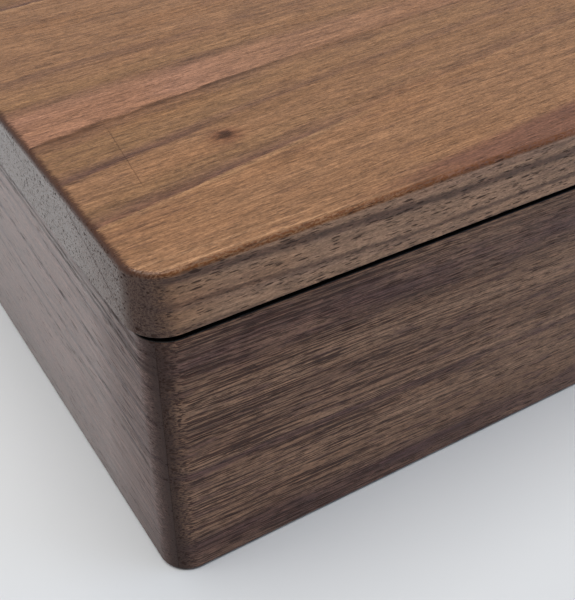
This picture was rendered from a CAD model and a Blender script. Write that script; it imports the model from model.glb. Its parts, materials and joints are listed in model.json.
# %% [markdown]
# # A walnut keepsake box
#
# The box is a slab lid over four mitred boards, all in black walnut rubbed with oil. Its construction comes from
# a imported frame, and this script gives every part the form and finish of the real thing: rounded boards with
# the grain of one log, brass hinges, felt on the bottom. Lengths are in metres. The box stands on Z = 0 with its
# front towards -Y.

import json
import math
from functools import partial

import bmesh
import bpy
from mathutils import Matrix, Vector, noise


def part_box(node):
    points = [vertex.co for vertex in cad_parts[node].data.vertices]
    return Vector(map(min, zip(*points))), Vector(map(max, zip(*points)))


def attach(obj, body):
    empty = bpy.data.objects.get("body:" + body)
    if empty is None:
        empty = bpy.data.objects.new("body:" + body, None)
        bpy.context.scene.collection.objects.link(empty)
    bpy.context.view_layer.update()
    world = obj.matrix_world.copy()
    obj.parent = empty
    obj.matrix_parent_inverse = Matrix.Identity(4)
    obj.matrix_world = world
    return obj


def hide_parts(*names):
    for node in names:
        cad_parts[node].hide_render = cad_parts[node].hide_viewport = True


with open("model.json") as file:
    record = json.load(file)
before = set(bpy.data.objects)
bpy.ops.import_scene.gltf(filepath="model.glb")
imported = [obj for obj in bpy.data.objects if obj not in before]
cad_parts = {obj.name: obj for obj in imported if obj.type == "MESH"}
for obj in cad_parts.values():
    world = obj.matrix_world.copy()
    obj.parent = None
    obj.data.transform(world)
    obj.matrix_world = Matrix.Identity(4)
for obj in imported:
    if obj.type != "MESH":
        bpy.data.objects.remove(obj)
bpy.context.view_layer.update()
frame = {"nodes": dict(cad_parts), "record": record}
nodes = frame["nodes"]

# %% [markdown]
# ## Sizes
#
# Places are measured from the frame's own nodes, so a piece lies where the construction says. Only what the
# frame can't tell, such as how far an edge is worn, is named here, in millimetres.

# %% Measure the boards
MM = 0.001

lid_low, lid_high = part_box("lid_board")
front_low, front_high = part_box("front_board")
panel_low, panel_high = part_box("bottom_panel")
body_low = Vector((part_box("left_board")[0].x, front_low.y, 0.0))
body_high = Vector((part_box("right_board")[1].x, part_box("back_board")[1].y, front_high.z))
middle = (body_low + body_high) / 2
wall = front_high.y - front_low.y
corner_foot = Vector((body_low.x, body_low.y, 0.0))
LID_TOP_MM = lid_high.z / MM
print("body", [round(v / MM, 1) for v in body_high - body_low], "wall", round(wall / MM, 1))

# %% [markdown]
# ## The camera
#
# The photograph looks down on the near left corner from about a quarter of a metre. A camera is a place, a
# direction and a lens. The place is given from the foot of that corner, and the direction as an azimuth and an
# elevation, which say more to a reader than a matrix.

# %% Place the camera
IMAGE_WIDTH, IMAGE_HEIGHT = 575, 600
FOCAL_PIXELS = 1029.6
SENSOR_MM = 36.0
CAMERA_FROM_CORNER = Vector((-53.2, -135.9, 195.1)) * MM
CAMERA_AZIMUTH, CAMERA_ELEVATION, CAMERA_ROLL = -31.5, 38.4, -0.13

camera_data = bpy.data.cameras.new("photo_camera")
camera_data.sensor_width = SENSOR_MM
camera_data.lens = FOCAL_PIXELS / max(IMAGE_WIDTH, IMAGE_HEIGHT) * SENSOR_MM
camera_data.clip_start = 0.01
camera_data.clip_end = 20.0
camera = bpy.data.objects.new("photo_camera", camera_data)
bpy.context.scene.collection.objects.link(camera)
bpy.context.scene.camera = camera

azimuth, elevation = math.radians(CAMERA_AZIMUTH), math.radians(CAMERA_ELEVATION)
towards_camera = Vector((
    math.sin(azimuth) * math.cos(elevation),
    -math.cos(azimuth) * math.cos(elevation),
    math.sin(elevation),
))
camera.location = corner_foot + CAMERA_FROM_CORNER
camera.rotation_mode = "QUATERNION"
facing = (-towards_camera).to_track_quat("-Z", "Y")
camera.rotation_quaternion = facing @ Matrix.Rotation(math.radians(CAMERA_ROLL), 3, "Z").to_quaternion()
print("lens", round(camera_data.lens, 2), "mm, camera at", [round(v, 3) for v in camera.location])

# %% [markdown]
# ## Colours and nodes
#
# Colours are written as the hex values that a paint program shows, and one function turns them into the linear
# light that a shader wants. A second function adds a node of any kind, with its settings and its links, and hands
# back the output, so one node's result can be written as the next one's input. Bound to one material's tree, it
# is handed on under the short name add. The node that comes most is MapRange: two numbers say over which span a value
# runs, and two more say what that span becomes, 0 to 1 if they are left out. A surface is built as a painter
# would build it: a ground colour, and tones laid over it, each with a share from 0 to 1.

# %% Helpers for materials
SMOOTH = {"interpolation_type": "SMOOTHSTEP"}


def linear(hex_colour):
    """The linear colour of an sRGB hex value."""
    channels = [int(hex_colour[i:i + 2], 16) / 255 for i in (1, 3, 5)]
    return [c / 12.92 if c <= 0.04045 else ((c + 0.055) / 1.055) ** 2.4 for c in channels] + [1.0]


def add_node(tree, kind, *values, out=None, **settings):
    """Adds one node and returns its output, the one named out or else the first that shows.

    A second word of the kind is the node's operation. The values go to the inputs that show, in order, and None
    leaves an input as it is. A setting is a property of the node or, with _ for a space, an input's name. A value
    is a number, a colour or another output.
    """
    kind, _, operation = kind.partition(" ")
    node = tree.nodes.new("ShaderNode" + kind)
    if operation:
        node.operation = operation
    named = {}
    for key, value in settings.items():
        if hasattr(node, key):
            setattr(node, key, value)
        else:
            named[key.replace("_", " ")] = value
    shown = [socket for socket in node.inputs if socket.enabled]
    for socket, value in [*zip(shown, values), *[(node.inputs[name], named[name]) for name in named]]:
        if isinstance(value, bpy.types.NodeSocket):
            tree.links.new(value, socket)
        elif value is not None:
            socket.default_value = value
    outputs = [socket for socket in node.outputs if socket.enabled]
    return node.outputs[out] if out else (outputs or [None])[0]


def new_material(name):
    """An empty material, its adder, and the place on the object in millimetres from the near corner's foot."""
    material = bpy.data.materials.new(name)
    material.use_nodes = True
    material.node_tree.nodes.clear()
    add = partial(add_node, material.node_tree)
    place = add("VectorMath MULTIPLY_ADD", add("TexCoord", out="Object"), (1 / MM,) * 3, tuple(-corner_foot / MM))
    return material, add, place


def drawn_noise(add, place, length, width, detail=3.0, roughness=0.55, seed=0.0, out=None):
    """Noise in patches of length by width millimetres, the length along X; mostly between 0.3 and 0.7."""
    scaled = add("VectorMath MULTIPLY_ADD", place, (1 / length, 1 / width, 1 / width), (seed,) * 3)
    return add("TexNoise", scaled, Scale=1.0, Detail=detail, Roughness=roughness, out=out)


def painted(add, colour, layers):
    """Lays tones over a colour, in order. A layer is a share and a tone."""
    for share, tone in layers:
        colour = add("Mix", share, colour, linear(tone), data_type="RGBA")
    return colour


# %% [markdown]
# ## Walnut: the fibres
#
# A board is a slice of a log, so the material is the log and not a picture on a face. All patterns fill space and
# run along the grain: a face cut along the grain shows lines and dashes, one cut across it shows arcs and dots, and
# a rounded corner passes from the one to the other, as real wood does. Real fibres sway a little, so the place is
# first bent by two noises, a slow one for the sway and a quick one for the ripple round the pores. Each pattern
# adds its own number to the board's seed, so no two patterns lie alike.

# %% Bend the fibres
SWAY_MM = (60.0, 16.0)
RIPPLE_MM = (9.0, 2.0)


def fibre_place(add, place, board):
    """The place in the log: X along the grain, with the lean, the sway and the ripple of real fibres."""
    x, y, z = add("SeparateXYZ", place).node.outputs
    if board["grain"] == "y":
        x, y = y, x
    lean_y, lean_z = board["lean"]
    y = add("Math MULTIPLY_ADD", x, -lean_y, y)
    z = add("Math MULTIPLY_ADD", x, -lean_z, z)
    place = add("CombineXYZ", x, y, z)
    for number, (patch, size) in enumerate([(SWAY_MM, board["sway"]), (RIPPLE_MM, board["ripple"])]):
        bend = drawn_noise(add, place, *patch, 2.0, 0.5, board["seed"] + number, "Color")
        bend = add("VectorMath MULTIPLY_ADD", bend, (0.0, size, size), (0.0, -size / 2, -size / 2))
        place = add("VectorMath ADD", place, bend)
    return place


# %% [markdown]
# ## Walnut: the rings
#
# Each year ends in a thin dark line with one soft and one hard side, and no two years are alike. So the rings are a
# chart: places across the rings in millimetres, each with a tone of the wood and with the share of pores there,
# because walnut's pores crowd at the start of a year. The chart repeats after its last ring. A board then says how
# the rings cross it: how steeply they dip across it, how far they run out along the grain, and, in a second
# chart, which ring lies at which height of its edge. Where the wood is calm, and far from the near corner,
# the rings fade into the plain tan.

# %% Rings
FRAY_MM = (7.0, 0.35)
CALM_MM = (34.0, 9.0)


def ring_number(add, fibres, board):
    """Where a place lies in the chart of rings, from 0 to 1."""
    x, y, z = add("SeparateXYZ", fibres).node.outputs
    slope = add("MapRange", y, *board["slope_span"], *board["slopes"], **SMOOTH)
    ring = add("Math SUBTRACT", add("Math MULTIPLY", y, board["across"]), add("Math MULTIPLY", x, slope))
    for (low, low_ring), (high, high_ring) in zip(board["heights"], board["heights"][1:]):
        step = add("MapRange", z, low, high, low_ring - high_ring, 0.0)
        ring = add("Math ADD", ring, step)
    fray = drawn_noise(add, fibres, *FRAY_MM, 3.0, 0.65, board["seed"] + 5)
    ring = add("Math MULTIPLY_ADD", fray, board["fray"], ring)
    first, last, top_ring = board["rings"][0][0], board["rings"][-1][0], board["heights"][-1][1]
    turn = add("Math MULTIPLY", add("Math ADD", ring, top_ring - first), 1 / (last - first))
    return add("Math FRACT", turn)


def ring_colour(add, fibres, board):
    """The wood's colour and its share of pores, from the ring that a place lies in."""
    chart = add("ValToRGB", ring_number(add, fibres, board))
    rings, ramp = board["rings"], chart.node.color_ramp
    first, last = rings[0][0], rings[-1][0]
    for number, (ring, tone, porosity) in enumerate(rings):
        if 0 < number < len(rings) - 1:
            element = ramp.elements.new((ring - first) / (last - first))
        else:
            element = ramp.elements[0 if number == 0 else -1]
        element.color = linear(board["tones"][tone])[:3] + [porosity]
    calm = drawn_noise(add, fibres, *CALM_MM, 2.0, 0.5, board["seed"] + 7)
    calm = add("MapRange", calm, 0.42, 0.6, 0.0, board["calm"], **SMOOTH)
    along = add("SeparateXYZ", fibres).node.outputs["X"]
    fade = add("MapRange", along, *board["fade_from"], 0.0, board["fade"], **SMOOTH)
    calm = add("Math MAXIMUM", calm, fade)
    return painted(add, chart, [(calm, board["tones"]["tan"])]), chart.node.outputs["Alpha"]


# %% [markdown]
# ## Walnut: the pores
#
# Pores tell walnut from a stained wood: open tubes a fifth of a millimetre wide, filled with shadow. The cells of
# a Voronoi pattern, drawn out along the grain, give each pore its place, and the distance to the cell's middle gives
# its size. Each cell's random colour decides whether it holds a pore and how big that is. The pores are drawn
# about twice as wide as real ones, because finer ones vanish between the pixels.

# %% Pores
PORE_EDGE = (-0.05, 0.09)


def pores(add, fibres, share, length, width, sizes, seed):
    """1 in a pore and 0 outside it; share says how many cells hold one, and sizes how much of its cell it fills."""
    stretch, shift = (1 / length, 1 / width, 1 / width), (seed, seed * 1.7, seed * 0.6)
    scaled = add("VectorMath MULTIPLY_ADD", fibres, stretch, shift)
    distance = add("TexVoronoi", scaled, Scale=1.0, Randomness=1.0, out="Distance")
    chance = add("SeparateColor", distance.node.outputs["Color"]).node.outputs
    size = add("MapRange", chance[0], 0.0, 1.0, *sizes)
    depth = add("Math SUBTRACT", size, distance)
    mask = add("MapRange", depth, *PORE_EDGE)
    held = add("Math LESS_THAN", chance[1], share)
    return add("Math MULTIPLY", mask, held)


# %% [markdown]
# ## Walnut: between the rings
#
# Between its rings the wood is not even either. It has warm clouds, violet stains a centimetre long, long dark
# lines a third of a millimetre wide, and fibres that catch the light one by one. Real fibres are thirty times finer;
# they are drawn this coarse because a pixel of the photograph covers a fifth of a millimetre. The three tints are
# laid over the rings, and the fibres make the whole lighter and darker.

# %% Clouds, stains, lines and fibres
CLOUD_MM = (45.0, 11.0)
STAIN_MM = (14.0, 2.4)
LINE_MM = (24.0, 0.36)
STREAK_MM = (18.0, 1.1)
FLECK_MM = (0.8, 0.36)


def tints(add, fibres, board):
    """The shares of the warm clouds, the violet stains and the dark lines."""
    cloud = drawn_noise(add, fibres, *CLOUD_MM, 2.0, 0.5, board["seed"] + 11)
    cloud = add("MapRange", cloud, 0.48, 0.68, 0.0, board["warmth"])
    stain = drawn_noise(add, fibres, *STAIN_MM, 3.0, 0.6, board["seed"] + 13)
    stain = add("MapRange", stain, 0.53, 0.64, 0.0, board["stains"], **SMOOTH)
    lines = drawn_noise(add, fibres, *LINE_MM, 2.0, 0.5, board["seed"] + 19)
    lines = add("MapRange", lines, 0.495, 0.445, 0.0, board["lines"])
    along = add("SeparateXYZ", fibres).node.outputs["X"]
    far = add("MapRange", along, *board["fade_from"], 1.0, board["far_lines"])
    return cloud, stain, add("Math MULTIPLY", lines, far)


def fibre_light(add, fibres, board):
    """How light each fibre is, around 1; and the fibres and flecks themselves, for other uses."""
    fibre = drawn_noise(add, fibres, *board["fibre_mm"], 3.0, 0.7, board["seed"] + 17)
    streak = drawn_noise(add, fibres, *STREAK_MM, 3.0, 0.6, board["seed"] + 23)
    fleck = drawn_noise(add, fibres, *FLECK_MM, 2.0, 0.6, board["seed"] + 29)
    light = 1.0
    for pattern, strength in ((fibre, board["fibres"]), (streak, board["streaks"]), (fleck, board["flecks"])):
        swing = add("MapRange", pattern, 0.32, 0.68, 1 - strength, 1 + strength)
        light = add("Math MULTIPLY", light, swing)
    return light, fibre, fleck


# %% [markdown]
# ## Walnut: which way the surface faces
#
# The direction that a place faces says how the tree was cut there. Where it faces along the grain, the pores show as
# dots, crowded along the rings. Sanded edges and corners cut the fibres at a slant and soak up more oil: the
# round edge of the top turns orange brown, the upright corners nearly black. So shares are worked out from the
# direction: end grain, corner and edge, and how far the place looks up and to the side.

# %% Directions
END_PORE_MM = 1.3
CLUSTER_MM = (9.0, 1.1)
JITTER_MM = (1.2, 0.3)


def facing_shares(add, board):
    """The shares that follow from the direction in which a place faces, by name."""
    nx, ny, nz = add("SeparateXYZ", add("TexCoord", out="Normal")).node.outputs
    along = add("Math ABSOLUTE", nx if board["grain"] == "x" else ny)
    turn = add("Math ABSOLUTE", add("Math MULTIPLY", nx, ny))
    cube = add("Math MULTIPLY", nz, add("Math MULTIPLY", nz, nz))
    slant = add("Math SUBTRACT", nz, cube)
    return {
        "end": add("MapRange", along, 0.1, 0.7, **SMOOTH),
        "corner": add("MapRange", turn, 0.03, 0.4, 0.0, board["corner_dark"]),
        "edge": add("MapRange", slant, 0.03, 0.14, 0.0, board["edge_dark"], **SMOOTH),
        "up": nz,
        "sideways": add("MapRange", add("Math ABSOLUTE", nx), 0.3, 0.9),
    }


def all_pores(add, fibres, porosity, end_grain, board):
    """The pores as dashes along the grain, and as dots where the end grain shows."""
    seed, sizes = board["seed"], board["pore_sizes"]
    cluster = drawn_noise(add, fibres, *CLUSTER_MM, 2.0, 0.6, seed + 37)
    cluster = add("MapRange", cluster, 0.36, 0.62, 0.15, 1.35)
    share = add("Math MULTIPLY", porosity, cluster)
    jitter = drawn_noise(add, fibres, *JITTER_MM, 1.0, 0.5, seed + 41, "Color")
    jitter = add("VectorMath MULTIPLY_ADD", jitter, (1.2, 0.16, 0.16), (-0.6, -0.08, -0.08))
    ragged = add("VectorMath ADD", fibres, jitter)
    length, width = board["pore_mm"]
    large = pores(add, ragged, share, length, width, sizes, seed + 0.3)
    small = pores(add, ragged, share, length * 0.6, width * 0.65, sizes, seed + 5.3)
    small = add("Math MULTIPLY", small, 0.8)
    crowded = add("MapRange", porosity, *board["end_crowd"], 0.05, 0.9)
    crowded = add("Math MULTIPLY", crowded, cluster)
    dots = pores(add, fibres, crowded, END_PORE_MM * 3, END_PORE_MM, (0.2, 0.45), seed + 7.7)
    dots = add("Math MULTIPLY", dots, end_grain)
    return add("Math MAXIMUM", add("Math MAXIMUM", large, small), dots)


# %% [markdown]
# ## Walnut: soaked ends and the black gap
#
# Oil runs into the cut ends of the lid along its fibres, two millimetres deep and ragged, each fibre as far as it
# drinks. The two faces that meet in the shadow gap are stained black near the rim, as box makers do, so that the gap
# reads as one dark line from any side.

# %% Ends and gap
SOAK_RAGGED_MM = 4.5
REVEAL_WIDTH = 3.0
GAP_BLACK = "#0b0908"


def soaked_end(add, place, fibre, up, board):
    """1 on the ends of the lid's top, where the oil has run in."""
    low, high = board["soaked_ends"]
    x = add("SeparateXYZ", place).node.outputs["X"]
    reach = add("Math ABSOLUTE", add("Math SUBTRACT", x, (low + high) / 2))
    reach = add("Math MULTIPLY_ADD", fibre, SOAK_RAGGED_MM, reach)
    half = (high - low) / 2
    soak = add("MapRange", reach, half + 0.3, half + 1.3, 0.0, board["soak"], **SMOOTH)
    return add("Math MULTIPLY", soak, add("MapRange", up, 0.1, 0.3))


def reveal(add, place, board):
    """1 where the shadow gap's two faces are stained black, 0 elsewhere."""
    reach = (body_high - body_low) / 2
    away = add("VectorMath SUBTRACT", place, tuple((middle - corner_foot) / MM))
    x, y, _ = add("SeparateXYZ", add("VectorMath ABSOLUTE", away)).node.outputs
    inset = add("Math MINIMUM", add("Math SUBTRACT", reach.x / MM, x), add("Math SUBTRACT", reach.y / MM, y))
    near_rim = add("Math LESS_THAN", inset, REVEAL_WIDTH)
    height = add("SeparateXYZ", place).node.outputs["Z"]
    return add("Math MULTIPLY", add("MapRange", height, *board["reveal"]), near_rim)


# %% [markdown]
# ## Walnut: the finish
#
# Oil fills the wood, and wax is rubbed on over it, most on the lid's end grain and on the side boards. Wax makes a
# satin skin that mirrors a bright floor at a flat angle, but it doesn't bridge anything: pores, dark lines,
# sanded corners and the crowded start of a ring break it, and so does the grime where hands take the box by its near
# corner. So the wax is a coat whose weight comes from the board and from what breaks it. The wood under it is of
# middling roughness, and higher in the pores and at the held corner. Its bump is pores, lines and fibres, and
# where it is sanded or worn the fibres are torn.

# %% Wear, wax and relief
HELD_CORNER = (5.0, 32.0)
SPECKLE = (0.44, 0.56, 0.1, 1.0)
CROWDED_PORES = (0.8, 1.0)
WAX_ROUGHNESS = 0.2
TORN = 1.6
RELIEF_DEPTH = 0.08 * MM


def add_wear(add, place, fleck, shares, board):
    """Adds the held corner and its grime to the shares, and the edge and the corner as crumbly tones."""
    speckle = add("MapRange", fleck, *SPECKLE)
    y = add("SeparateXYZ", place).node.outputs["Y"]
    shares["held"] = add("Math MULTIPLY", add("MapRange", y, *HELD_CORNER, 1.0, 0.0), shares["sideways"])
    handled = add("Math MULTIPLY", shares["held"], board["grime"])
    for name, share in (("grime", handled), ("dark_edge", shares["edge"]), ("dark_corner", shares["corner"])):
        shares[name] = add("Math MULTIPLY", share, speckle)


def wax_skin(add, porosity, shares, board):
    """How much wax closes the wood."""
    broken = add("MapRange", porosity, *CROWDED_PORES, 0.0, 0.8)
    for name in ("corner", "pores", "lines", "grime"):
        broken = add("Math MAXIMUM", broken, shares[name])
    skin = add("MapRange", shares["end"], 0.0, 1.0, *board["wax"])
    return add("Math MULTIPLY", skin, add("Math SUBTRACT", 1.0, broken))


def relief(add, fibre, fleck, shares):
    """The bump of the wood, written as depth: pores and lines lie low, fibres stand out."""
    torn = add("Math MAXIMUM", shares["corner"], shares["grime"])
    torn = add("Math MULTIPLY", torn, TORN)
    depth = add("Math MULTIPLY_ADD", fleck, torn, shares["pores"])
    depth = add("Math MULTIPLY_ADD", fibre, -0.3, depth)
    depth = add("Math MULTIPLY_ADD", shares["lines"], 0.3, depth)
    return add("Bump", Strength=0.5, Distance=RELIEF_DEPTH, Height=depth, invert=True)


# %% [markdown]
# ## Walnut: the whole material
#
# Everything comes together in the order in which it happens to a board: the rings, the marks of one board, the tints
# between the rings, the light of the fibres, and then what hands, oil and tools have done. The pores come
# last, because nothing covers them but the black of the gap.

# %% The walnut material
def walnut(name, board, marks=None):
    """Oiled black walnut for one board: satin, dark in its pores. marks lists what only that board has."""
    material, add, place = new_material(name)
    tones = board["tones"]
    fibres = fibre_place(add, place, board)
    colour, porosity = ring_colour(add, fibres, board)
    if marks:
        colour = painted(add, colour, marks(add, place))
    cloud, stain, lines = tints(add, fibres, board)
    colour = painted(add, colour, [(cloud, tones["warm"]), (stain, tones["violet"]), (lines, tones["line"])])
    light, fibre, fleck = fibre_light(add, fibres, board)
    colour = add("VectorMath SCALE", colour, light)

    shares = facing_shares(add, board)
    shares["lines"] = lines
    shares["pores"] = all_pores(add, fibres, porosity, shares["end"], board)
    add_wear(add, place, fleck, shares, board)
    shadow = add("MapRange", shares["up"], 0.2, 0.9, board["pore_dark"], board["top_pore_dark"])
    colour = painted(add, colour, [
        (shares["grime"], tones["corner"]),
        (add("Math MULTIPLY", shares["end"], board["end_dark"]), tones["end"]),
        (shares["dark_edge"], tones["edge"]),
        (shares["dark_corner"], tones["corner"]),
        (soaked_end(add, place, fibre, shares["up"], board), tones["soaked"]),
        (add("Math MULTIPLY", shares["pores"], shadow), tones["pore"]),
        (reveal(add, place, board), GAP_BLACK),
    ])

    rough = add("MapRange", fibre, 0.3, 0.7, board["roughness"] - 0.05, board["roughness"] + 0.07)
    rough = add("Math MULTIPLY_ADD", shares["pores"], 0.25, rough)
    rough = add("Math MULTIPLY_ADD", shares["held"], 0.3, rough)
    shader = add("BsdfPrincipled", Base_Color=colour, Roughness=rough, IOR=board["ior"],
                 Normal=relief(add, fibre, fleck, shares), Coat_Weight=wax_skin(add, porosity, shares, board),
                 Coat_Roughness=WAX_ROUGHNESS)
    add("OutputMaterial", shader)
    return material


# %% [markdown]
# ## The lid's own marks
#
# Some marks belong to this lid alone, and they are painted where the photograph shows them. Each is the distance to
# a point or a line, turned into a share, with one ragged noise that keeps its edges from looking ruled. A pin
# knot is where a twig was: a dark plug, a warm halo, and dark tails where the fibres part round it. Beside it is
# a hairline scratch across the grain.

# %% Knot and scratch
RAGGED_MM = (2.4, 1.0)
KNOT_PLACE, KNOT_RADIUS, KNOT_STRETCH = (37.8, 38.3), 2.0, 0.92
KNOT_TAIL_MM = 7.5
SCRATCH_ENDS, SCRATCH_HALF_WIDTH, SCRATCH_FADE = ((17.8, 57.5), (13.7, 26.9)), 0.14, 4


def bent(add, off, ragged, sway):
    """The distance to a line that sways by the ragged noise; off is the signed distance to the straight line."""
    return add("Math ABSOLUTE", add("Math MULTIPLY_ADD", ragged, sway, off))


def knot(add, x, y, ragged):
    """The knot's halo, tails and plug."""
    off_x = add("Math MULTIPLY", add("Math SUBTRACT", x, KNOT_PLACE[0]), KNOT_STRETCH)
    off_y = add("Math SUBTRACT", y, KNOT_PLACE[1])
    reach = add("VectorMath LENGTH", add("CombineXYZ", off_x, off_y, 0.0))
    reach = add("Math ADD", reach, ragged)
    halo = add("MapRange", reach, KNOT_RADIUS * 2.6, KNOT_RADIUS * 0.6, 0.0, 0.65, **SMOOTH)
    plug = add("MapRange", reach, KNOT_RADIUS * 1.3, KNOT_RADIUS * 0.4, **SMOOTH)
    tail = add("MapRange", bent(add, off_y, ragged, 0.7), 1.0, 0.1, 0.0, 0.4, **SMOOTH)
    fade = add("MapRange", add("Math ABSOLUTE", off_x), KNOT_TAIL_MM, 1.0, **SMOOTH)
    tail = add("Math MULTIPLY", tail, fade)
    return [(halo, "#6b4031"), (tail, "#51331f"), (plug, "#200c0b")]


def scratch(add, place, y, upper, ragged):
    """The hairline scratch, fading out at its ends."""
    (x0, y0), (x1, y1) = SCRATCH_ENDS
    length = math.hypot(x1 - x0, y1 - y0)
    normal = ((y1 - y0) / length, (x0 - x1) / length, 0.0)
    off = add("VectorMath DOT_PRODUCT", place, normal)
    off = add("Math SUBTRACT", off, x0 * normal[0] + y0 * normal[1])
    hair = add("MapRange", bent(add, off, ragged, 0.3), SCRATCH_HALF_WIDTH * 1.5, SCRATCH_HALF_WIDTH * 0.4, 0.0, 0.5)
    half = (y0 - y1) / 2
    off = add("Math ABSOLUTE", add("Math SUBTRACT", y, (y0 + y1) / 2))
    inside = add("MapRange", off, half, half - SCRATCH_FADE)
    inside = add("Math MULTIPLY", inside, upper)
    return [(add("Math MULTIPLY", hair, inside), "#40291b")]


# %% [markdown]
# ## The lid's colours
#
# By the right of the front edge the heartwood is plum-coloured, in a wedge that rises along the edge. The second
# ring is open at the left and closes after three centimetres. Two light lines run close to the front, where the
# plane met hard wood. The front edge itself is a little greyer than the top, with three dark bands that slope
# along it.

# %% Patches, light lines and the front edge
PLUM_FROM, PLUM_TOP, PLUM_RISE = (42.0, 76.0), 3.4, 0.115
PLUM_TOP_AT, PLUM_BLUR = 65, 3.0
SECOND_RING, SECOND_SLOPE, SECOND_ENDS = 38.9, 0.11, (30.0, 44.0)
LIGHT_LINES = ((1.5, 70.0, 0.7), (4.2, 46.0, 0.5))
EDGE_BANDS = (
    ((10.0, 75.0), (1.9, 5.2), 1.6, 0.8),
    ((10.0, 60.0), (8.0, 11.6), 0.9, 0.7),
    ((0.0, 30.0), (13.4, 15.5), 1.0, 0.6),
)


def top_patches(add, x, y, upper, ragged):
    """The plum wedge and the closing of the second ring."""
    rise = add("Math MULTIPLY_ADD", x, -PLUM_RISE, y)
    rise = add("Math MULTIPLY_ADD", ragged, 1.0, rise)
    limit = PLUM_TOP - PLUM_TOP_AT * PLUM_RISE
    plum = add("MapRange", rise, limit + PLUM_BLUR, limit, 0.0, 0.7, **SMOOTH)
    begun = add("MapRange", x, *PLUM_FROM, **SMOOTH)
    plum = add("Math MULTIPLY", plum, add("Math MULTIPLY", begun, upper))
    off = add("Math MULTIPLY_ADD", x, -SECOND_SLOPE, y)
    off = add("Math ABSOLUTE", add("Math SUBTRACT", off, SECOND_RING))
    closed = add("MapRange", off, 3.4, 1.6, 0.0, 0.85, **SMOOTH)
    closed = add("Math MULTIPLY", closed, add("MapRange", x, *SECOND_ENDS, **SMOOTH))
    return [(plum, "#6e473d"), (add("Math MULTIPLY", closed, upper), "#8d6749")]


def front_edge(add, x, y, z, ragged):
    """The greyer wood of the front edge and its dark bands."""
    front = add("MapRange", y, 0.9, 0.5)
    below = add("MapRange", z, LID_TOP_MM - 0.8, LID_TOP_MM - 1.4)
    grey = add("Math MULTIPLY", add("Math MULTIPLY", front, below), add("MapRange", x, 4.0, 16.0, 0.25, 0.65))
    layers = [(grey, "#a5856f")]
    for ends, drops, half_width, strength in EDGE_BANDS:
        height = add("MapRange", x, *ends, *[LID_TOP_MM - drop for drop in drops])
        away = bent(add, add("Math SUBTRACT", z, height), ragged, 0.8)
        band = add("MapRange", away, half_width, half_width * 0.2, 0.0, strength, **SMOOTH)
        layers.append((add("Math MULTIPLY", band, front), "#46302a"))
    return layers


def light_lines(add, x, y, upper, ragged):
    """The light lines near the front, each as far to the right as it runs."""
    layers = []
    for line_y, last_x, strength in LIGHT_LINES:
        off = bent(add, add("Math SUBTRACT", y, line_y), ragged, 0.3)
        line = add("MapRange", off, 0.5, 0.1, 0.0, strength, **SMOOTH)
        shown = add("Math MULTIPLY", add("MapRange", x, last_x, last_x * 0.6), upper)
        layers.append((add("Math MULTIPLY", line, shown), "#b88c68"))
    return layers


def lid_marks(add, place):
    """All marks of the lid, in the order in which they are painted."""
    x, y, z = add("SeparateXYZ", place).node.outputs
    ragged = drawn_noise(add, place, *RAGGED_MM, 3.0, 0.6, 51.0)
    ragged = add("MapRange", ragged, 0.2, 0.8, -0.6, 0.6)
    upper = add("Math GREATER_THAN", z, LID_TOP_MM - 3)
    return [*knot(add, x, y, ragged), *top_patches(add, x, y, upper, ragged), *front_edge(add, x, y, z, ragged),
            *light_lines(add, x, y, upper, ragged), *scratch(add, place, y, upper, ragged)]


# %% [markdown]
# ## The lid's board
#
# The lid is flat-sawn: its rings lie nearly level, so on the top each ring is 18 mm wide, and the edge cuts through
# several of them, as the chart of heights says. Its dark lines lie where the photograph shows them. Its top
# drinks oil at the ends, and only its end grain is waxed.
#
# A board's settings come in this order: how its fibres run, lean, sway and ripple; how its rings fray, calm down,
# fade and slope; the charts of heights and rings; the tones; the strength of each pattern, edge and end; the
# pores; the polish; and the height at which the black of the gap begins.

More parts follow.
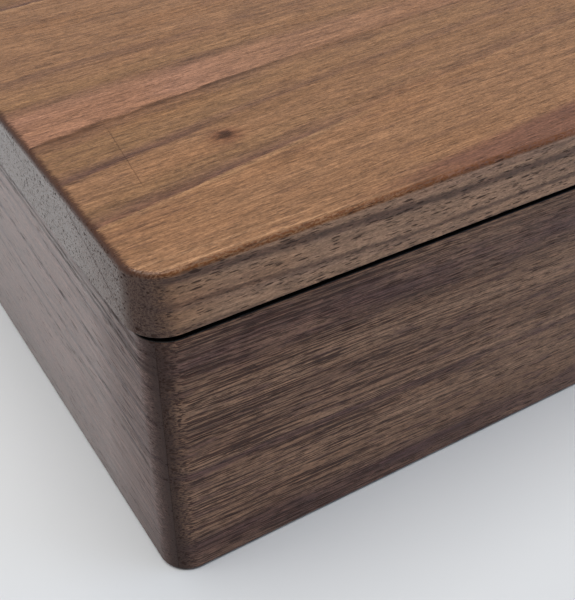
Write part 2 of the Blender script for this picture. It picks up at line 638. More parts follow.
# %% Walnut of the lid
LID = dict(
    grain="x", seed=4.0, lean=(0.06, 0.0), sway=0.6, ripple=0.35, fray=1.8, calm=0.15,
    fade_from=(28.0, 80.0), fade=0.62, slope_span=(45.0, 75.0), slopes=(0.11, 0.0), across=1.0,
    heights=[(LID_TOP_MM - 15.0, 53.0), (LID_TOP_MM - 5.6, 31.0), (LID_TOP_MM - 4.6, 26.6),
             (LID_TOP_MM - 2.1, 21.7), (LID_TOP_MM, -0.9)],
    rings=[
        (-20.0, "tan", 0.6), (0.0, "tan", 0.7), (10.0, "tan", 0.5), (14.0, "tan", 0.6), (18.0, "tan", 0.6),
        (19.2, "ridge", 0.3), (20.0, "violet", 1.0), (21.6, "dusk", 0.95), (25.0, "olive", 0.8), (30.0, "tan", 0.5),
        (36.6, "tan", 0.5), (38.0, "violet", 0.8), (39.4, "dusk", 0.9), (41.5, "olive", 0.6), (50.0, "olive", 0.6),
        (53.6, "dusk", 0.8), (55.3, "dark", 1.0), (55.9, "dark", 1.0), (56.3, "salmon", 0.7), (59.0, "salmon", 0.5),
        (69.0, "salmon", 0.4), (72.5, "dusk", 0.8), (75.0, "olive", 0.7), (82.0, "tan", 0.5), (88.0, "dusk", 0.9),
    ],
    tones=dict(
        tan="#936c4e", salmon="#9f735c", olive="#8c6849", dusk="#785844", violet="#5e4239", dark="#3f291f",
        ridge="#aa825f", warm="#976844", end="#554037", edge="#6a3f1f", corner="#381f14", soaked="#42271a",
        line="#55361f", pore="#2a140a",
    ),
    warmth=0.3, stains=0.25, lines=0.16, far_lines=1.0, fibre_mm=(5.0, 0.36), fibres=0.34, streaks=0.16,
    flecks=0.22, end_dark=0.9, end_crowd=(0.6, 0.9), edge_dark=0.95, corner_dark=0.8,
    soaked_ends=((lid_low - corner_foot).x / MM, (lid_high - corner_foot).x / MM), soak=0.85,
    pore_mm=(4.0, 0.6), pore_sizes=(0.2, 0.42), pore_dark=0.85, top_pore_dark=0.35,
    roughness=0.35, ior=1.33, wax=(0.0, 0.8), grime=0.6, reveal=(lid_low.z / MM + 0.15, lid_low.z / MM + 0.1),
)

# %% [markdown]
# ## The plank of the sides
#
# The four sides come from one darker, closer plank, and their rings lie one above the other, a millimetre of
# height to a millimetre of the chart. The front is full of long pores and thin dark lines, which hide most of
# the rings. The left side shows few pores but several dark lines, most of them near its rim, and it is waxed.

# %% Walnut of the sides
PLANK_TONES = dict(
    tan="#95745d", brown="#876650", dusk="#6f5242", violet="#54393a", warm="#8a6650", end="#33211b",
    edge="#523324", corner="#38211b", soaked="#2b1a16", line="#34160c", pore="#260f07",
)
FRONT = dict(
    grain="x", seed=9.0, lean=(0.0, -0.03), sway=1.4, ripple=0.45, fray=3.0, calm=0.4,
    fade_from=(45.0, 100.0), fade=0.15, slope_span=(-20.0, 20.0), slopes=(0.0, 0.0), across=0.3,
    heights=[(0.0, 0.0), (90.0, 90.0)],
    rings=[
        (0.0, "dusk", 0.9), (10.0, "violet", 0.9), (13.0, "dusk", 0.8), (14.5, "brown", 0.75), (20.0, "brown", 0.7),
        (25.0, "tan", 0.75), (29.0, "brown", 0.8), (31.0, "brown", 0.8), (33.0, "violet", 0.95), (34.2, "tan", 0.8),
        (37.0, "brown", 0.8), (39.0, "dusk", 0.9), (42.0, "brown", 0.8), (46.0, "dusk", 0.95), (49.0, "brown", 0.8),
        (52.0, "tan", 0.75), (56.0, "brown", 0.8), (59.5, "dusk", 0.95), (64.0, "violet", 1.0), (70.0, "dusk", 0.9),
        (76.0, "brown", 0.8), (84.0, "dusk", 0.9),
    ],
    tones=PLANK_TONES,
    warmth=0.3, stains=0.5, lines=0.9, far_lines=0.5, fibre_mm=(3.0, 0.34), fibres=0.34, streaks=0.2,
    flecks=0.2, end_dark=0.9, end_crowd=(0.5, 1.0), edge_dark=0.45, corner_dark=0.2,
    soaked_ends=(0.0, (body_high - corner_foot).x / MM), soak=0.0,
    pore_mm=(6.0, 0.4), pore_sizes=(0.2, 0.44), pore_dark=0.8, top_pore_dark=0.6,
    roughness=0.4, ior=1.33, wax=(0.0, 0.0), grime=0.2, reveal=(body_high.z / MM - 0.2, body_high.z / MM - 0.1),
)
SIDE = dict(
    FRONT, grain="y", seed=15.0, lean=(0.0, 0.05), fray=0.9, calm=0.3, fade=0.0,
    rings=[
        (0.0, "dusk", 0.2), (12.0, "brown", 0.1), (25.0, "tan", 0.1), (30.5, "brown", 0.2), (31.2, "line", 1.0),
        (32.0, "brown", 0.2), (35.4, "tan", 0.1), (36.4, "violet", 1.0), (37.4, "brown", 0.1), (46.0, "tan", 0.1),
        (47.2, "violet", 0.95), (48.6, "tan", 0.1), (56.6, "tan", 0.1), (57.4, "violet", 1.0), (58.2, "tan", 0.1),
        (60.6, "tan", 0.2), (61.3, "line", 1.0), (61.9, "line", 1.0), (62.3, "tan", 0.2), (62.9, "line", 1.0),
        (63.4, "line", 1.0), (63.9, "brown", 0.2), (65.0, "brown", 0.2), (65.7, "line", 1.0), (66.3, "line", 1.0),
        (67.0, "brown", 0.3), (70.0, "dusk", 0.3), (76.0, "tan", 0.1), (84.0, "dusk", 0.2),
    ],
    tones=dict(PLANK_TONES, tan="#7d5e55", brown="#72554d", dusk="#5f4239", warm="#7a5d53"),
    lines=0.6, far_lines=0.3, fade_from=(20.0, 60.0), stains=0.3, ior=1.4, wax=(0.6, 0.0), grime=0.65,
)

lid_walnut = walnut("walnut_oiled_lid", LID, lid_marks)
front_walnut = walnut("walnut_oiled_front", FRONT)
side_walnut = walnut("walnut_oiled_side", SIDE)
print("nodes in the lid's walnut:", len(lid_walnut.node_tree.nodes))

# %% [markdown]
# ## Shaping the boards
#
# A board is milled square, its corners are rounded on a router, its edges are broken with sandpaper, and then it
# is sawn. The mesh is made in the same order: a cube, a wide bevel on the upright edges, narrow bevels round
# the faces, cuts with a plane. Carving with a boolean comes last, for the beds of hinges and magnets.

# %% Helpers for solid pieces
CORNER_SEGMENTS = 20
EASE_SEGMENTS = 6
ROUND_SEGMENTS = 64


def middle_at(low, high, height=0.0):
    """The middle of a box seen from above, at a height."""
    return Vector(((low.x + high.x) / 2, (low.y + high.y) / 2, height))


def block(low, high):
    """A bmesh of a plain block between two corners."""
    mesh = bmesh.new()
    bmesh.ops.create_cube(mesh, size=1.0)
    bmesh.ops.scale(mesh, vec=high - low, verts=mesh.verts)
    bmesh.ops.translate(mesh, vec=(high + low) / 2, verts=mesh.verts)
    return mesh


def round_edges(mesh, edges, radius, segments):
    """Rounds the given edges over."""
    bmesh.ops.bevel(mesh, geom=edges, offset=radius, offset_type="OFFSET", segments=segments, profile=0.5,
                    affect="EDGES", material=-1, clamp_overlap=True)


def rim_at(mesh, height):
    """The edges that lie level at a height."""
    return [e for e in mesh.edges if all(abs(v.co.z - height) < 1e-6 for v in e.verts)]


def rounded_block(low, high, corner, low_ease, high_ease):
    """A block with rounded upright corners and eased lower and upper edges."""
    mesh = block(low, high)
    upright = [e for e in mesh.edges if abs(e.verts[0].co.z - e.verts[1].co.z) > (high.z - low.z) / 2]
    round_edges(mesh, upright, corner, CORNER_SEGMENTS)
    round_edges(mesh, rim_at(mesh, low.z), low_ease, EASE_SEGMENTS)
    round_edges(mesh, rim_at(mesh, high.z), high_ease, EASE_SEGMENTS)
    return mesh


def saw_off(mesh, point, normal):
    """Cuts away what lies beyond the plane, and closes the cut."""
    everything = mesh.verts[:] + mesh.edges[:] + mesh.faces[:]
    bmesh.ops.bisect_plane(mesh, geom=everything, dist=1e-7, plane_co=point, plane_no=normal, clear_outer=True)
    bmesh.ops.holes_fill(mesh, edges=[e for e in mesh.edges if e.is_boundary], sides=0)


def turned(profile, centre, segments=ROUND_SEGMENTS):
    """A turned piece: the profile's (radius, height) points spun about an upright axis."""
    mesh = bmesh.new()
    points = [mesh.verts.new((radius, 0.0, height)) for radius, height in profile]
    edges = [mesh.edges.new(pair) for pair in zip(points, points[1:])]
    bmesh.ops.spin(mesh, geom=points + edges, cent=(0, 0, 0), axis=(0, 0, 1), dvec=(0, 0, 0), angle=2 * math.pi,
                   steps=segments, use_merge=True, use_duplicate=False)
    bmesh.ops.remove_doubles(mesh, verts=mesh.verts, dist=1e-7)
    bmesh.ops.translate(mesh, vec=centre, verts=mesh.verts)
    bmesh.ops.recalc_face_normals(mesh, faces=mesh.faces)
    return mesh


# %% [markdown]
# ## From a mesh to a piece
#
# A mesh becomes an object, and its cutters are taken out for good. Last it gets smooth faces with crisp arrises
# where two of them meet at an angle, its material, and its place in the frame: the body that it rides on, its
# slot, and the nodes that it replaces.

# %% Objects, cuts and finish
SHARP_ANGLE = math.radians(35)
FLAT_WEIGHT = 80


def to_object(mesh, name):
    """Closes a bmesh into a new object."""
    bmesh.ops.recalc_face_normals(mesh, faces=mesh.faces)
    data = bpy.data.meshes.new(name)
    mesh.to_mesh(data)
    mesh.free()
    piece = bpy.data.objects.new(name, data)
    bpy.context.scene.collection.objects.link(piece)
    return piece


def carve(piece, cutters, operation="DIFFERENCE"):
    """Takes the cutters, which are bmeshes, out of the piece for good, or joins them to it."""
    helpers = []
    for number, cutter in enumerate(cutters):
        helper = to_object(cutter, f"cutter_{number}")
        boolean = piece.modifiers.new("cut", "BOOLEAN")
        boolean.operation = operation
        boolean.solver = "EXACT"
        boolean.object = helper
        helpers.append(helper)
    graph = bpy.context.evaluated_depsgraph_get()
    carved = bpy.data.meshes.new_from_object(piece.evaluated_get(graph))
    piece.modifiers.clear()
    piece.data = carved
    for helper in helpers:
        bpy.data.objects.remove(helper)


def finish_piece(piece, material, body, replaced):
    """Gives a piece smooth faces with crisp arrises, true flats, its material and its body."""
    mesh = bmesh.new()
    mesh.from_mesh(piece.data)
    bmesh.ops.remove_doubles(mesh, verts=mesh.verts, dist=2e-6)
    bmesh.ops.recalc_face_normals(mesh, faces=mesh.faces)
    for face in mesh.faces:
        face.smooth = True
    for edge in mesh.edges:
        edge.smooth = len(edge.link_faces) == 2 and edge.calc_face_angle(0.0) < SHARP_ANGLE
    mesh.to_mesh(piece.data)
    mesh.free()
    piece.data.materials.clear()
    piece.data.materials.append(material)
    weighted = piece.modifiers.new("true_flats", "WEIGHTED_NORMAL")
    weighted.keep_sharp = True
    weighted.weight = FLAT_WEIGHT
    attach(piece, body)
    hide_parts(*replaced)
    print(piece.name, len(piece.data.polygons), "faces")


# %% [markdown]
# ## The cuts at the back
#
# Lid and body are chamfered towards the hinge pins, so that the lid stops just past upright, and the hinge
# leaves are let in flush. The hinge's own nodes say where its pin is and how far the leaves reach.

# %% Places of the hinges
CHAMFER_STOP = 95.0
CHAMFER_CLEARANCE = 0.1 * MM
FIT = 0.15 * MM
SEAT = 0.05 * MM
FAR = 20 * MM

pin_low, pin_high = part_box("left_hinge_pin")
pin_y, pin_z = (pin_low.y + pin_high.y) / 2, (pin_low.z + pin_high.z) / 2
barrel_radius = body_high.y - pin_y


def back_wedge():
    """The wedge between the two chamfers, with its point at the hinge pins."""
    half = math.radians(CHAMFER_STOP / 2)
    start = pin_y - CHAMFER_CLEARANCE / math.sin(half)
    reach = FAR * math.tan(half)
    mesh = bmesh.new()
    places = ((start, 0.0), (start + FAR, -reach), (start + FAR, reach))
    face = mesh.faces.new([mesh.verts.new((lid_low.x - FAR, y, pin_z + z)) for y, z in places])
    pulled = bmesh.ops.extrude_face_region(mesh, geom=[face])
    moved = [v for v in pulled["geom"] if isinstance(v, bmesh.types.BMVert)]
    bmesh.ops.translate(mesh, vec=(lid_high.x - lid_low.x + 2 * FAR, 0, 0), verts=moved)
    return mesh


def hinge_beds(towards_lid):
    """The beds of the leaves, in the lid's underside or in the body's rim."""
    beds = []
    for side in ("left", "right"):
        low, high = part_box(f"{side}_hinge_body_leaf")
        depth = barrel_radius + SEAT
        bottom, top = (pin_z, pin_z + depth) if towards_lid else (pin_z - depth, pin_z)
        beds.append(block(Vector((low.x - FIT, low.y - FIT, bottom)), Vector((high.x + FIT, body_high.y + FAR, top))))
    return beds


def magnet_hole(node, into_lid):
    """The round hole that a magnet sits in, open at the face it looks out of."""
    low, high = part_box(node)
    bottom, top = (low.z - FAR, high.z + SEAT) if into_lid else (low.z - SEAT, high.z + FAR)
    radius = (high.x - low.x) / 2 + FIT
    return turned([(0, bottom), (radius, bottom), (radius, top), (0, top)], middle_at(low, high))


# %% [markdown]
# ## The lid
#
# One thick board. Its top edge is sanded to a round of a good millimetre, which shows as a bright line and a
# darker band on the corner. Underneath, the edge is only broken, so the shadow gap stays crisp.

# %% Make the lid
LID_CORNER = 8.5 * MM
LID_TOP_EASE = 1.25 * MM
LID_UNDER_EASE = 0.25 * MM
SIDES = ("left", "right")

lid_piece = to_object(rounded_block(lid_low, lid_high, LID_CORNER, LID_UNDER_EASE, LID_TOP_EASE), "walnut_lid")
carve(lid_piece, [back_wedge(), *hinge_beds(towards_lid=True),
                  *[magnet_hole(f"lid_magnet_{side}", into_lid=True) for side in SIDES]])
finish_piece(lid_piece, lid_walnut, "lid", ["lid_board"])

# %% [markdown]
# ## The four boards
#
# The frame is glued up first and rounded as one, so each board is sawn from the same rounded block: once along
# its inner face and once at each mitre. The saw's kerf at the mitre is the hairline of glue.

# %% Make the boards
BODY_CORNER = 7.0 * MM
FOOT_EASE = 1.2 * MM
RIM_EASE = 0.4 * MM
GLUE = 0.06 * MM
GROOVE_PLAY = Vector((0.2, 0.2, 0.1)) * MM


def frame_board(name, outward):
    """One side of the frame; outward is the direction that its face looks."""
    mesh = rounded_block(body_low, body_high, BODY_CORNER, FOOT_EASE, RIM_EASE)
    sideways = Vector((-outward.y, outward.x, 0))
    reach = abs((body_high - middle).dot(outward))
    side_reach = abs((body_high - middle).dot(sideways))
    saw_off(mesh, middle + outward * (reach - wall), -outward)
    for hand in (-1, 1):
        corner = middle + outward * reach + sideways * hand * side_reach
        saw_off(mesh, corner - sideways * hand * GLUE / math.sqrt(2), sideways * hand - outward)
    inner_rim = [e for e in rim_at(mesh, body_high.z) if all(
        abs((v.co - middle).dot(outward) - reach + wall) < 1e-6 for v in e.verts)]
    round_edges(mesh, inner_rim, RIM_EASE, EASE_SEGMENTS)
    return to_object(mesh, name)


boards = {
    "front_board": (Vector((0, -1, 0)), front_walnut),
    "back_board": (Vector((0, 1, 0)), front_walnut),
    "left_board": (Vector((-1, 0, 0)), side_walnut),
    "right_board": (Vector((1, 0, 0)), side_walnut),
}
for node, (outward, material) in boards.items():
    piece = frame_board(f"walnut_{node}", outward)
    cutters = [block(panel_low - GROOVE_PLAY, panel_high + GROOVE_PLAY), back_wedge()]
    if node == "back_board":
        cutters += hinge_beds(towards_lid=False)
    if node == "front_board":
        cutters += [magnet_hole(f"body_magnet_{side}", into_lid=False) for side in SIDES]
    carve(piece, cutters)
    finish_piece(piece, material, "box_body", [node])

# %% [markdown]
# ## Brass, nickel and rubber
#
# Brass leaves are sawn from plate and sanded one way, which leaves fine lines along them. Magnets are nickel-plated,
# smooth and a little cloudy. Bumpers are cast silicone, matt and nearly black, with the faint grain of their
# mould. Such plain finishes are made alike: a ground colour with a tone or two in clouds, and one fine pattern,
# the skin, that gives the roughness and the bump.

# %% Small finishes
NOISE_SPAN = (0.3, 0.7)
BLOOM = (3.0, 3.0, 3.0, 0.6, 7.0)
MOULD_GRAIN = (0.3, 0.3, 2.0, 0.5)


def small_finish(name, ground, clouds, skin, rough, bump, **extra):
    """A plain finish. A cloud is a noise, the span that it runs over and its tone; bump is a strength and a depth."""
    material, add, place = new_material(name)
    layers = [(add("MapRange", drawn_noise(add, place, *pattern), *span), tone) for pattern, span, tone in clouds]
    colour = painted(add, linear(ground), layers)
    skin = drawn_noise(add, place, *skin)
    rough = add("MapRange", skin, *NOISE_SPAN, *rough)
    bump = add("Bump", Strength=bump[0], Distance=bump[1], Height=skin)
    add("OutputMaterial", add("BsdfPrincipled", Base_Color=colour, Roughness=rough, Normal=bump, **extra))
    return material


brass = small_finish("brass_sanded", "#cda75c", [(BLOOM, NOISE_SPAN, "#b98f48")], skin=(6.0, 0.1, 3.0, 0.7, 2.0),
                     rough=(0.24, 0.4), bump=(0.2, 0.01 * MM), Metallic=1.0)
nickel = small_finish("nickel_plated", "#cbc9c4", [(BLOOM, NOISE_SPAN, "#b9b6b0")], skin=(6.0, 0.3, 3.0, 0.7, 2.0),
                      rough=(0.12, 0.28), bump=(0.2, 0.01 * MM), Metallic=1.0)
rubber = small_finish("silicone_cast", "#1b1a19", [(MOULD_GRAIN, (0.0, 1.0), "#2a2827")], skin=MOULD_GRAIN,
                      rough=(0.5, 0.65), bump=(0.2, 0.02 * MM))

# %% [markdown]
# ## The hinges
#
# Two solid butt hinges. Each leaf is a plate whose edge turns into knuckles; the body's leaf has three, the lid's
# two, and one pin runs through all five. The screw holes are countersunk, so that the heads lie flush. Round
# things are turned: a profile of radii and heights is spun about an axis.

# %% Sizes and helpers of the hinges
KNUCKLES = 5
KNUCKLE_GAP = 0.3 * MM
PIN_PLAY = 0.1 * MM
LEAF_THICKNESS, LEAF_EDGE = 1.65 * MM, 0.15 * MM
BEYOND = 1.0 * MM
HEAD_RADIUS, HEAD_HEIGHT, SHANK_RADIUS = 2.1 * MM, 1.1 * MM, 1.1 * MM
HOLE_DEPTH, HOLE_SEGMENTS = 3 * MM, 48
SCREWS = (1, 2, 3)
OWNER = {"body": "box_body", "lid": "lid"}
pin_radius = (pin_high.z - pin_low.z) / 2


def lying(profile, start):
    """A turned piece whose axis runs along X from the start."""
    mesh = turned(profile, (0, 0, 0))
    bmesh.ops.rotate(mesh, cent=(0, 0, 0), matrix=Matrix.Rotation(math.pi / 2, 3, "Y"), verts=mesh.verts)
    bmesh.ops.translate(mesh, vec=start, verts=mesh.verts)
    return mesh


def knuckle(length):
    """The outline of one knuckle along the pin, with softened rims."""
    near, far = KNUCKLE_GAP / 2, length - KNUCKLE_GAP / 2
    rim = barrel_radius - LEAF_EDGE
    return [(0, near), (rim, near), (barrel_radius, near + LEAF_EDGE), (barrel_radius, far - LEAF_EDGE), (rim, far),
            (0, far)]


def leaf_holes(side, leaf, low, high, face, sign):
    """The bore of the pin and the countersunk holes of the screws."""
    bore, run = pin_radius + PIN_PLAY, high.x - low.x + 2 * BEYOND
    holes = [lying([(0, 0), (bore, 0), (bore, run), (0, run)], (low.x - BEYOND, pin_y, pin_z))]
    outline = [(0, -BEYOND), (HEAD_RADIUS + FIT, -BEYOND), (HEAD_RADIUS + FIT, 0), (SHANK_RADIUS + FIT, HEAD_HEIGHT),
               (SHANK_RADIUS + FIT, HOLE_DEPTH), (0, HOLE_DEPTH)]
    for number in SCREWS:
        centre = middle_at(*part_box(f"{side}_hinge_{leaf}_screw_{number}"), face)
        holes.append(turned([(radius, sign * depth) for radius, depth in outline], centre, HOLE_SEGMENTS))
    return holes


# %% [markdown]
# ## The leaves
#
# A leaf starts as a plate. Room for the other leaf's knuckles is cut out of its edge, its own knuckles are joined
# on, and the holes come last, so that they go through everything. The body's leaf faces up and the lid's faces down.

# %% Leaves


def make_leaf(side, leaf, first_knuckle):
    """A leaf with its knuckles, bored for the pin and countersunk for the screws."""
    low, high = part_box(f"{side}_hinge_{leaf}_leaf")
    bottom = low.z if leaf == "body" else high.z - LEAF_THICKNESS
    top = bottom + LEAF_THICKNESS if leaf == "body" else high.z
    face, sign = (top, -1) if leaf == "body" else (bottom, 1)
    mesh = block(Vector((low.x, low.y, bottom)), Vector((high.x, pin_y, top)))
    far_edges = [e for e in mesh.edges if all(abs(v.co.y - low.y) < 1e-7 for v in e.verts)]
    round_edges(mesh, far_edges, LEAF_EDGE, 3)
    piece = to_object(mesh, f"brass_{side}_{leaf}_leaf")
    length = (high.x - low.x) / KNUCKLES
    starts = [low.x + length * number for number in range(KNUCKLES)]
    reach = pin_y - barrel_radius - KNUCKLE_GAP
    rooms = [block(Vector((start - KNUCKLE_GAP / 2, reach, low.z - BEYOND)),
                   Vector((start + length + KNUCKLE_GAP / 2, pin_y + BEYOND, high.z + BEYOND)))
             for start in starts[1 - first_knuckle::2]]
    carve(piece, rooms)
    carve(piece, [lying(knuckle(length), (start, pin_y, pin_z)) for start in starts[first_knuckle::2]], "UNION")
    carve(piece, leaf_holes(side, leaf, low, high, face, sign))
    finish_piece(piece, brass, OWNER[leaf], [f"{side}_hinge_{leaf}_leaf"])


# %% [markdown]
# ## Screws and pins
#
# A screw is turned from one profile, with a few rings for its thread. Its slot is sawn at its own angle, because
# nobody lines screws up.

# %% Screws and pins
THREAD_PITCH, THREAD_ROOT = 0.9 * MM, 0.72
TIP_LENGTH, TIP_RADIUS = 2.5 * MM, 0.3 * MM
HEAD_EDGE, SCREW_SEGMENTS = (0.1 * MM, 0.08 * MM), 24
SLOT_WIDTH, SLOT_DEPTH = 0.6 * MM, 0.5 * MM
SLOT_TURN, FIRST_TURN = 37, {"left": 11, "right": 64}
PIN_SOFT = 0.3 * MM


def make_screw(side, leaf, number):
    """A slotted screw with a countersunk head, flush with its leaf."""
    low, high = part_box(f"{side}_hinge_{leaf}_screw_{number}")
    length = high.z - low.z
    face, sign = (high.z, -1) if leaf == "body" else (low.z, 1)
    profile = [(0, 0), (HEAD_RADIUS - HEAD_EDGE[0], 0), (HEAD_RADIUS, HEAD_EDGE[1]), (SHANK_RADIUS, HEAD_HEIGHT)]
    depth = HEAD_HEIGHT + THREAD_PITCH
    while depth + THREAD_PITCH < length - TIP_LENGTH:
        profile += [(SHANK_RADIUS * THREAD_ROOT, depth), (SHANK_RADIUS, depth + THREAD_PITCH / 2)]
        depth += THREAD_PITCH
    profile += [(SHANK_RADIUS * THREAD_ROOT, length - TIP_LENGTH), (TIP_RADIUS, length), (0, length)]
    head = middle_at(low, high, face)
    mesh = turned([(radius, sign * height) for radius, height in profile], head, SCREW_SEGMENTS)
    piece = to_object(mesh, f"brass_{side}_{leaf}_screw_{number}")
    slot = block(Vector((-HEAD_RADIUS - BEYOND, -SLOT_WIDTH / 2, -SLOT_DEPTH)),
                 Vector((HEAD_RADIUS + BEYOND, SLOT_WIDTH / 2, SLOT_DEPTH)))
    turn = Matrix.Rotation(math.radians(SLOT_TURN * number + FIRST_TURN[side]), 3, "Z")
    bmesh.ops.rotate(slot, cent=(0, 0, 0), matrix=turn, verts=slot.verts)
    bmesh.ops.translate(slot, vec=head, verts=slot.verts)
    carve(piece, [slot])
    finish_piece(piece, brass, OWNER[leaf], [f"{side}_hinge_{leaf}_screw_{number}"])


def make_pin(side):
    """The hinge pin, with its ends rounded."""
    low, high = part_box(f"{side}_hinge_pin")
    ends = [(0, 0), (pin_radius - PIN_SOFT, 0), (pin_radius - PIN_SOFT * 0.3, PIN_SOFT * 0.3), (pin_radius, PIN_SOFT)]
    profile = ends + [(radius, high.x - low.x - place) for radius, place in reversed(ends)]
    piece = to_object(lying(profile, (low.x, pin_y, pin_z)), f"brass_{side}_pin")
    finish_piece(piece, brass, "box_body", [f"{side}_hinge_pin"])


for side in SIDES:
    make_pin(side)
    for first_knuckle, leaf in enumerate(("body", "lid")):
        make_leaf(side, leaf, first_knuckle)
        for number in SCREWS:
            make_screw(side, leaf, number)

# %% [markdown]
# ## Magnets and bumpers
#
# The lid is held shut by a pair of disc magnets at each front corner, and it rests on two small silicone domes, which
# hold the shadow gap open.

# %% Make the magnets and bumpers
RIM_STEPS = 5
MAGNET_RIM, BUMPER_FOOT, BUMPER_DOME = 0.3 * MM, 0.05 * MM, 0.7 * MM


def make_disc(node, name, material, body, lower, upper):
    """A disc as wide and thick as its node, with its lower and upper rim softened."""
    low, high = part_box(node)
    radius, height = (high.x - low.x) / 2, high.z - low.z
    angles = [math.pi / 2 * step / RIM_STEPS for step in range(RIM_STEPS + 1)]
    curve = [(math.sin(angle), 1 - math.cos(angle)) for angle in angles]
    profile = [(0, 0)] + [(radius - lower + lower * out, lower * up) for out, up in curve]
    profile += [(radius - upper + upper * out, height - upper * up) for out, up in reversed(curve)] + [(0, height)]
    piece = to_object(turned(profile, middle_at(low, high, low.z)), name)
    finish_piece(piece, material, body, [node])


for side in SIDES:
    for half, body in OWNER.items():
        make_disc(f"{half}_magnet_{side}", f"nickel_{half}_magnet_{side}", nickel, body,
                  MAGNET_RIM, MAGNET_RIM)
    make_disc(f"bumper_{side}", f"silicone_bumper_{side}", rubber, "box_body",
              BUMPER_FOOT, BUMPER_DOME)

# %% [markdown]
# ## The felt lining
#
# Two millimetres of pressed wool felt, cut to the inside and laid on the panel. Felt has no weave: its fibres lie
# every way, so it looks soft and a little cloudy, and its cut edge is rounded. It never lies quite
# flat, so its upper face rises and falls by a tenth of a millimetre or two.

# %% Felt
lining_low, lining_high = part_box("base_lining")
FELT_CELL = 3 * MM
FELT_RISE = 0.22 * MM
FELT_EDGE = 0.5 * MM
FELT_WAVES = ((28 * MM, 0.5), (9 * MM, 0.2))
FELT_FUZZ, FELT_CLOUD = (0.6, 0.6, 4.0, 0.7), (14.0, 14.0, 2.0, 0.5, 8.0)


def felt_sheet():
    """The lining: a grid of cells raised to its thickness, with a rounded edge and a gentle rise and fall."""
    mesh = bmesh.new()
    size = lining_high - lining_low
    bmesh.ops.create_grid(mesh, x_segments=round(size.x / FELT_CELL), y_segments=round(size.y / FELT_CELL), size=0.5)
    bmesh.ops.scale(mesh, vec=(size.x, size.y, 1), verts=mesh.verts)
    upper = bmesh.ops.extrude_face_region(mesh, geom=mesh.faces[:])
    raised = [v for v in upper["geom"] if isinstance(v, bmesh.types.BMVert)]
    bmesh.ops.translate(mesh, vec=(0, 0, size.z), verts=raised)
    bmesh.ops.recalc_face_normals(mesh, faces=mesh.faces)
    top_rim = [e for e in rim_at(mesh, size.z) if any(abs(f.normal.z) < 0.5 for f in e.link_faces)]
    round_edges(mesh, top_rim, FELT_EDGE, 4)
    for vertex in mesh.verts:
        if vertex.co.z > size.z - 1e-6:
            lift = sum(noise.noise(vertex.co / length) * share for length, share in FELT_WAVES)
            vertex.co.z -= FELT_RISE * (0.5 + lift)
    bmesh.ops.translate(mesh, vec=middle_at(lining_low, lining_high, lining_low.z), verts=mesh.verts)
    return to_object(mesh, "felt_lining")


felt = small_finish(
    "wool_felt_pressed", "#25272c",
    [(FELT_FUZZ, NOISE_SPAN, "#3d4046"), (FELT_CLOUD, (*NOISE_SPAN, 0.0, 0.3), "#474a50")],
    skin=FELT_FUZZ, rough=(0.88, 1.0), bump=(0.6, 0.3 * MM), Sheen_Weight=0.35)
lining = felt_sheet()
finish_piece(lining, felt, "box_body", ["base_lining"])

# %% [markdown]
# ## The nodes that stay
#
# The bottom panel is a flat board and the splines are hidden tongues, so their own solids are right. They only get
# their woods: the panel is walnut like the sides, the splines plain planed beech.

# %% Woods of the panel and the splines
PANEL = dict(FRONT, seed=27.0, roughness=0.52, across=1.0)
BEECH = dict(
    FRONT, grain="y", seed=31.0, pore_dark=0.3, top_pore_dark=0.3, fibres=0.08, lines=0.1, stains=0.1,
    tones=dict(
        tan="#c9a67c", brown="#c09b70", dusk="#b58f66", violet="#ab865e", warm="#c89f73", end="#a5835d",
        edge="#b08c66", corner="#b08c66", soaked="#b08c66", line="#a9855f", pore="#8a6848",
    ),
)
stay = {"walnut_panel": walnut("walnut_oiled_panel", PANEL), "beech_spline": walnut("beech_planed", BEECH)}
for row in frame["record"]["subparts"]:
    if row["material_slot"] in stay:
        node = nodes[row["node"]]
        node.data.materials.clear()
        node.data.materials.append(stay[row["material_slot"]])
        print(row["node"], "keeps its solid")

# %% [markdown]
# ## The floor
#
# A pale, plain sheet of paper. Far from the box it would run out of the lamps' light and end in a dark band, so there
# it glows a little, for the camera and in mirrored or clear surfaces only: no light falls from it.

# %% Stage
FLOOR_SIZE = 4.0
FLOOR_COLOURS = ("#d9dbde", "#dcdee0")
FLOOR_FADE_MM, FLOOR_FAR_LIGHT, FLOOR_FAR_COLOUR = (450.0, 2200.0), 0.6, "#e6eaef"

floor_mesh = bmesh.new()
bmesh.ops.create_grid(floor_mesh, x_segments=1, y_segments=1, size=FLOOR_SIZE)
floor = to_object(floor_mesh, "floor")
floor_material, add, floor_place = new_material("paper_backdrop")
paper = add("Mix", drawn_noise(add, floor_place, 80.0, 80.0), *[linear(tone) for tone in FLOOR_COLOURS],
            data_type="RGBA")
rays = add("LightPath", out="Is Camera Ray").node.outputs
seen = add("Math MAXIMUM", rays["Is Camera Ray"], rays["Is Glossy Ray"])
seen = add("Math MAXIMUM", seen, rays["Is Transmission Ray"])
away = add("VectorMath DISTANCE", floor_place, tuple((middle - corner_foot) / MM))
far = add("MapRange", away, *FLOOR_FADE_MM, 0.0, FLOOR_FAR_LIGHT, **SMOOTH)
add("OutputMaterial", add("BsdfPrincipled", Base_Color=paper, Roughness=0.85, Emission_Color=linear(FLOOR_FAR_COLOUR),
                          Emission_Strength=add("Math MULTIPLY", far, seen)))
floor.data.materials.append(floor_material)
print("floor", 2 * FLOOR_SIZE, "m wide")

# %% [markdown]
# ## The room
#
# The world is a dim room that grows brighter upwards and to the back. Near the horizon it is bright, because the
# left faces mirror it and the floor at a flat angle, which gives the satin wood there its grey sheen.

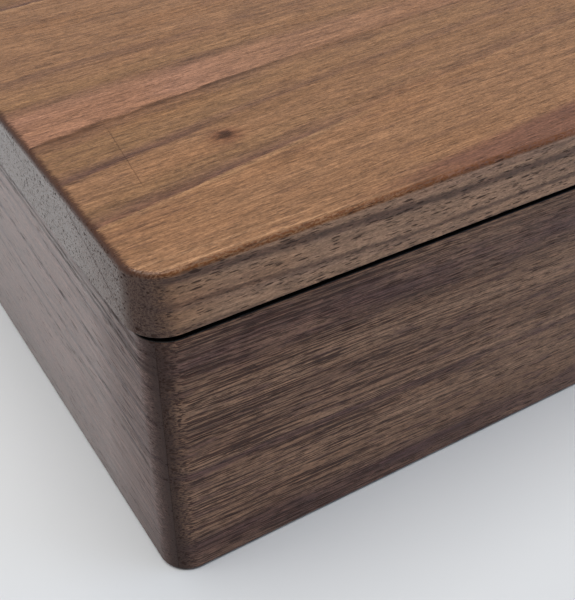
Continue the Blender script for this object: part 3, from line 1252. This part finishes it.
# %% World
ROOM_BRIGHT_SIDE = Vector((0.1, 0.75, 0.65)).normalized()
ROOM_SPAN, ROOM_DIM, ROOM_BRIGHT = (-0.2, 0.9), 0.12, 0.34
HORIZON_BAND, HORIZON = (0.02, 0.22), 0.66

world = bpy.data.worlds.new("studio")
bpy.context.scene.world = world
world.use_nodes = True
world.node_tree.nodes.clear()
add = partial(add_node, world.node_tree)
direction = add("TexCoord", out="Generated")
towards = add("VectorMath DOT_PRODUCT", direction, tuple(ROOM_BRIGHT_SIDE))
strength = add("MapRange", towards, *ROOM_SPAN, ROOM_DIM, ROOM_BRIGHT, **SMOOTH)
height = add("SeparateXYZ", direction).node.outputs["Z"]
near_horizon = add("MapRange", height, *HORIZON_BAND, 1.0, 0.0, **SMOOTH)
strength = add("Mix", near_horizon, strength, HORIZON, data_type="FLOAT")
add("OutputWorld", add("Background", linear("#e9f0f9"), strength))
print("room light from", ROOM_DIM, "to", ROOM_BRIGHT)

# %% [markdown]
# ## The lamps
#
# One large softbox, high up and a little behind on the left, lights the top, and the front, which faces away from it,
# gets less than half. A weak, cool window on the right keeps the front from going flat.

# %% Lights


def soft_light(name, place, size, power, colour):
    """A square area light that looks at the box."""
    data = bpy.data.lights.new(name, "AREA")
    data.shape = "SQUARE"
    data.size = size
    data.energy = power
    data.color = linear(colour)[:3]
    lamp = bpy.data.objects.new(name, data)
    bpy.context.scene.collection.objects.link(lamp)
    lamp.location = place
    lamp.rotation_mode = "QUATERNION"
    lamp.rotation_quaternion = (middle - Vector(place)).to_track_quat("-Z", "Y")
    print(name, power, "W from", place)


soft_light("softbox", (-0.35, -0.1, 1.7), 1.6, 31.0, "#fffdf9")
soft_light("window", (1.1, -0.9, 1.3), 1.0, 4.2, "#b6d3ff")

# %% [markdown]
# ## Finish
#
# The colours of the photograph are plain sRGB, so the view is Standard. The box around everything is measured
# again and written down beside the first one: looks must not make the object larger.

# %% Write the sizes and finish
bpy.context.scene.view_settings.view_transform = "Standard"
